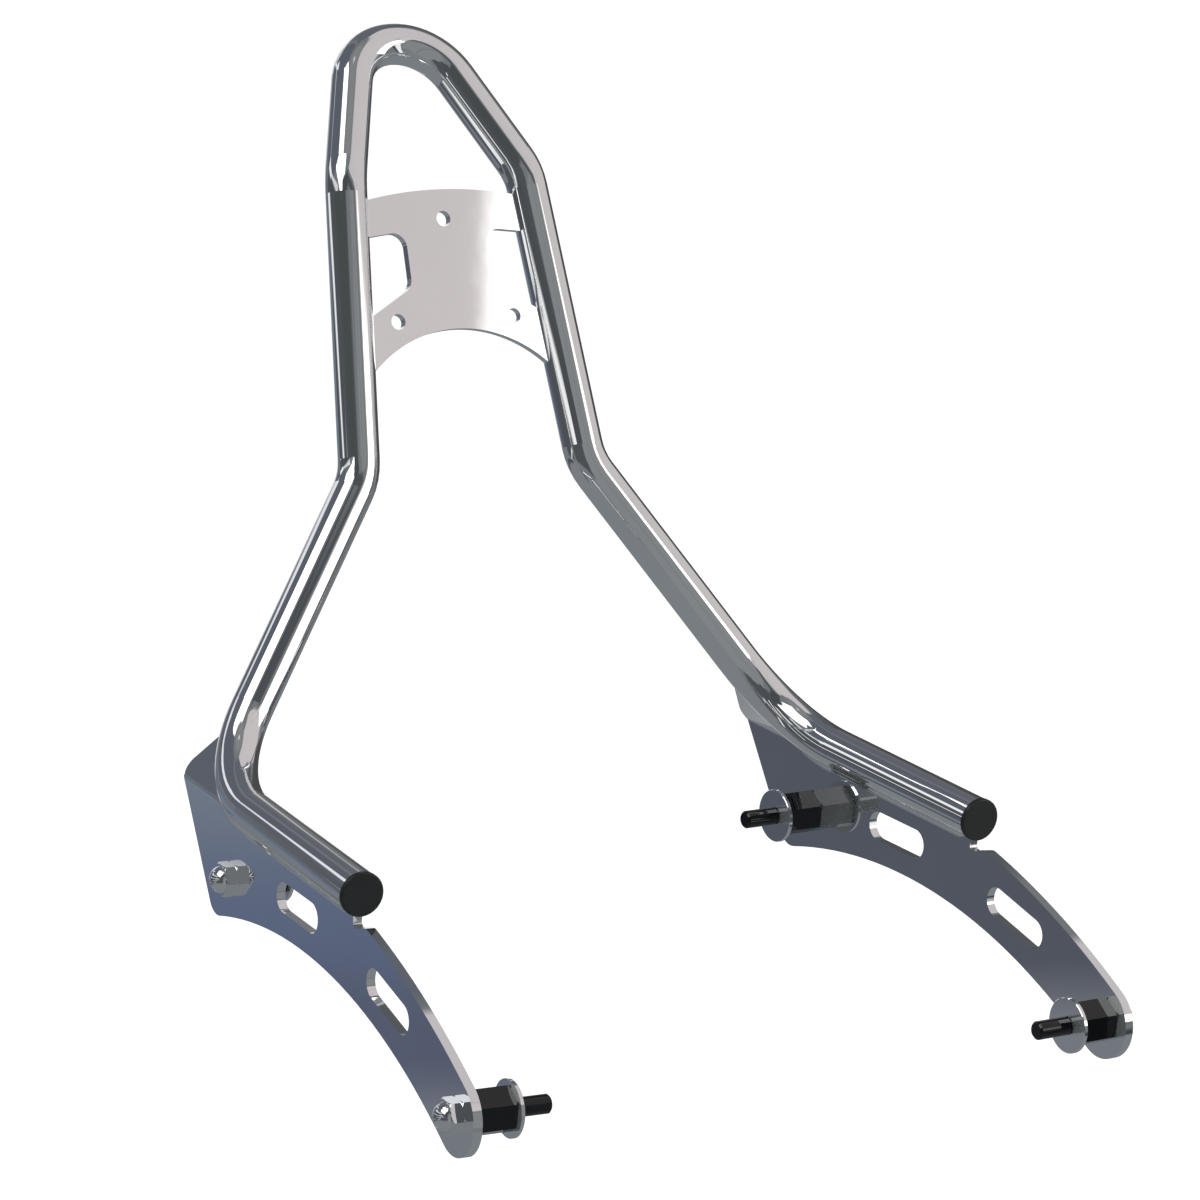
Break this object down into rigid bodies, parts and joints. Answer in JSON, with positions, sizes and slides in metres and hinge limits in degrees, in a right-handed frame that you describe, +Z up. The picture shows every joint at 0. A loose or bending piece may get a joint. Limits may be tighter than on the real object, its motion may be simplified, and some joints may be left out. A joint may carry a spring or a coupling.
{
  "type": "motorcycle backrest frame",
  "caption": "Chrome motorcycle backrest frame: bent round tube, slotted side plates with gussets, pad plate, end caps and inward studs on spacers.",
  "frame": {"origin": "midway between the two front washers, where their inner faces bear on the motorcycle", "axes": "+Z up, -Y to the front of the motorcycle, +X to the rider's left, so the tube's ends point to -Y and the backrest rises towards +Y"},
  "size_m": [0.403, 0.4942, 0.4455],
  "materials": {
    "tube": "bright chrome plate",
    "side_plate": "bright chrome plate",
    "pad_plate": "bright chrome plate",
    "nut": "bright chrome plate",
    "washer": "bright chrome plate",
    "black_steel": "gloss black",
    "end_cap": "satin black"
  },
  "bodies": {
    "root": {"frame_tube": "tube", "pad_plate": "pad_plate", "side_plate_left": "side_plate", "end_cap_left": "end_cap", "front_acorn_nut_left": "nut", "front_stud_left": "black_steel", "front_hex_spacer_left": "black_steel", "front_washer_left": "washer", "rear_acorn_nut_left": "nut", "rear_stud_left": "black_steel", "rear_hex_spacer_left": "black_steel", "rear_washer_left": "washer", "side_plate_right": "side_plate", "end_cap_right": "end_cap", "front_acorn_nut_right": "nut", "front_stud_right": "black_steel", "front_hex_spacer_right": "black_steel", "front_washer_right": "washer", "rear_acorn_nut_right": "nut", "rear_stud_right": "black_steel", "rear_hex_spacer_right": "black_steel", "rear_washer_right": "washer"}
  },
  "joints": []
}
